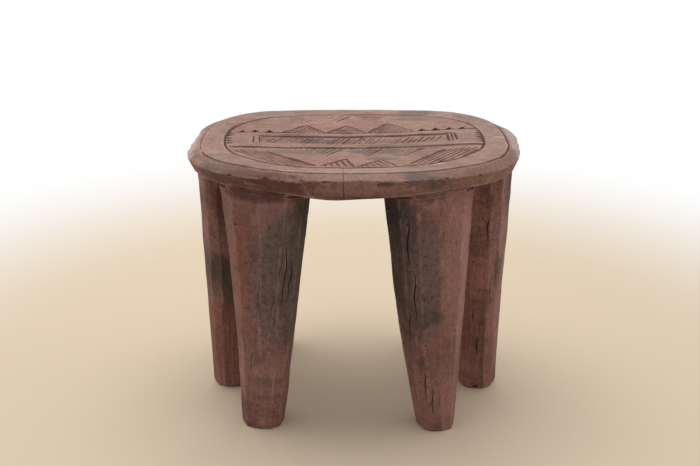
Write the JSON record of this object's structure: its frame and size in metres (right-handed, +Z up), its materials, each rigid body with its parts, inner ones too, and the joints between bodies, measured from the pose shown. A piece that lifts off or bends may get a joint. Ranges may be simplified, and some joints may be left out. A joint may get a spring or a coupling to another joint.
{
  "type": "carved wooden stool",
  "caption": "Low oval stool with a dished, incised seat slab on tapering faceted legs, for sitting on or as a small side table.",
  "frame": {"origin": "centre of the stool's footprint, on the floor under the feet", "axes": "+Z up, +X along the seat's length to the right as seen from the front, +Y from front to back"},
  "size_m": [0.377, 0.28, 0.3181],
  "materials": {
    "seat_wood": "hand-carved, matt, worn",
    "leg_wood": "adzed, matt, smoke-darkened"
  },
  "bodies": {
    "root": {"seat": "seat_wood", "leg_front_left": "leg_wood", "leg_front_right": "leg_wood", "leg_left": "leg_wood", "leg_right": "leg_wood", "leg_back_left": "leg_wood", "leg_back_right": "leg_wood"}
  },
  "joints": []
}
